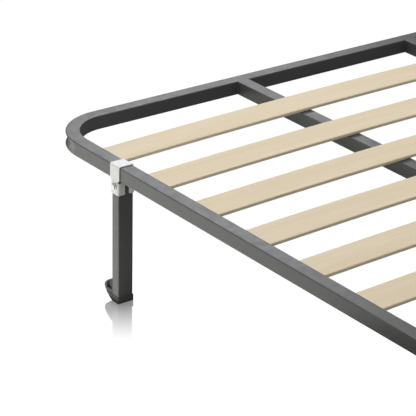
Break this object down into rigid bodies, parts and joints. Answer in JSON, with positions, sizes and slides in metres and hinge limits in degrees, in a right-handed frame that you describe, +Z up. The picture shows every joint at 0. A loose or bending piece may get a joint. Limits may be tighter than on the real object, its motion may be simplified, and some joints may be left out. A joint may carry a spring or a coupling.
{
  "type": "slatted metal bed frame",
  "caption": "Slatted bed base: a square-tube steel frame with rounded corners and lengthwise bars, arched wooden slats, and clamp-on legs with heeled foot shoes.",
  "frame": {"origin": "on the floor under the centre of the bed base", "axes": "+Z up, +Y towards the head end, +X towards the right side rail seen from the foot end"},
  "size_m": [1.6162, 2, 0.3358],
  "materials": {
    "coated_steel": "satin dark grey powder coat",
    "zinc_sheet": "bright zinc-plated sheet",
    "zinc_fastener": "bright zinc-plated fastener",
    "slat_wood": "pale laminated beech, satin lacquer",
    "dark_plastic": "moulded dark plastic"
  },
  "bodies": {
    "root": {"side_rail_left": "coated_steel", "lengthwise_bar_left": "coated_steel", "side_rail_right": "coated_steel", "lengthwise_bar_right": "coated_steel", "head_rail": "coated_steel", "corner_bend_head_left": "coated_steel", "clamp_head_left": "zinc_sheet", "clamp_bolt_head_left": "zinc_fastener", "clamp_nut_head_left": "zinc_fastener", "leg_head_left": "coated_steel", "foot_shoe_head_left": "dark_plastic", "corner_bend_head_right": "coated_steel", "clamp_head_right": "zinc_sheet", "clamp_bolt_head_right": "zinc_fastener", "clamp_nut_head_right": "zinc_fastener", "leg_head_right": "coated_steel", "foot_shoe_head_right": "dark_plastic", "foot_rail": "coated_steel", "corner_bend_foot_left": "coated_steel", "clamp_foot_left": "zinc_sheet", "clamp_bolt_foot_left": "zinc_fastener", "clamp_nut_foot_left": "zinc_fastener", "leg_foot_left": "coated_steel", "foot_shoe_foot_left": "dark_plastic", "corner_bend_foot_right": "coated_steel", "clamp_foot_right": "zinc_sheet", "clamp_bolt_foot_right": "zinc_fastener", "clamp_nut_foot_right": "zinc_fastener", "leg_foot_right": "coated_steel", "foot_shoe_foot_right": "dark_plastic", "slat_01": "slat_wood", "slat_02": "slat_wood", "slat_03": "slat_wood", "slat_04": "slat_wood", "slat_05": "slat_wood", "slat_06": "slat_wood", "slat_07": "slat_wood", "slat_08": "slat_wood", "slat_09": "slat_wood", "slat_10": "slat_wood"}
  },
  "joints": []
}
